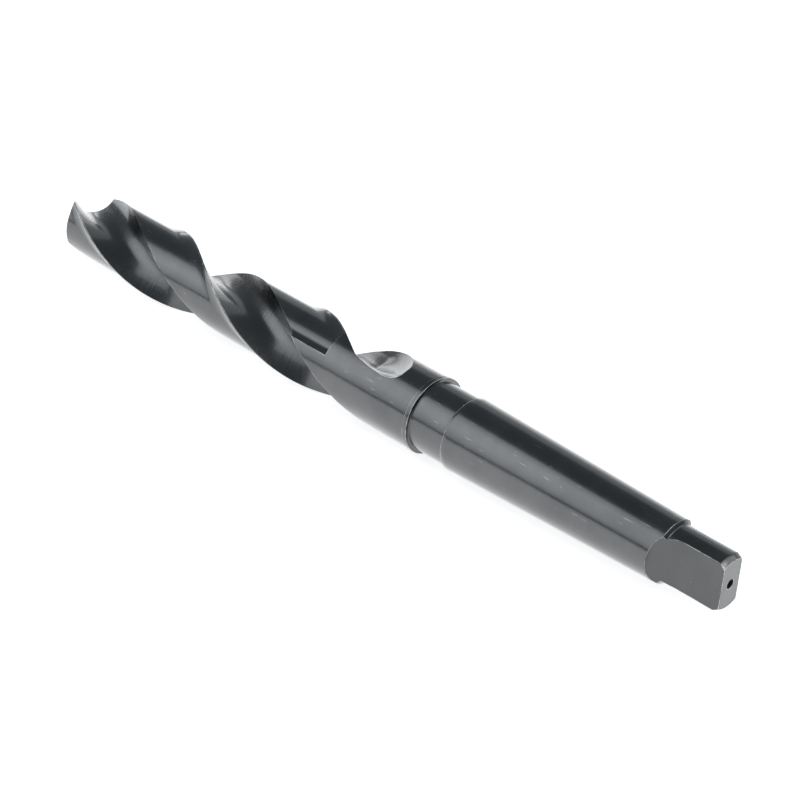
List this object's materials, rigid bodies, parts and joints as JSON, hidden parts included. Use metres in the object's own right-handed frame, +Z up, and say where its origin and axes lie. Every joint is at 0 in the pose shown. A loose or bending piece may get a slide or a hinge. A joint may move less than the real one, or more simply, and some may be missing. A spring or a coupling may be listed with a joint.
{
  "type": "taper shank twist drill",
  "caption": "Black twist drill with two right-hand helical flutes, a short neck and a taper shank ending in a flat tang.",
  "frame": {"origin": "on the drill's axis, in the gauge plane of the taper shank, 94 mm from the tang's end", "axes": "+X along the axis from the point to the tang, +Y square to the tang's flats, +Z up, with the drill lying on its side"},
  "size_m": [0.281, 0.0252, 0.0252],
  "materials": {
    "black_oxide_steel": "satin steam-oxide black, worn to bright steel on the cutting edges, margins and rims"
  },
  "bodies": {
    "root": {"twist_drill": "black_oxide_steel"}
  },
  "joints": []
}
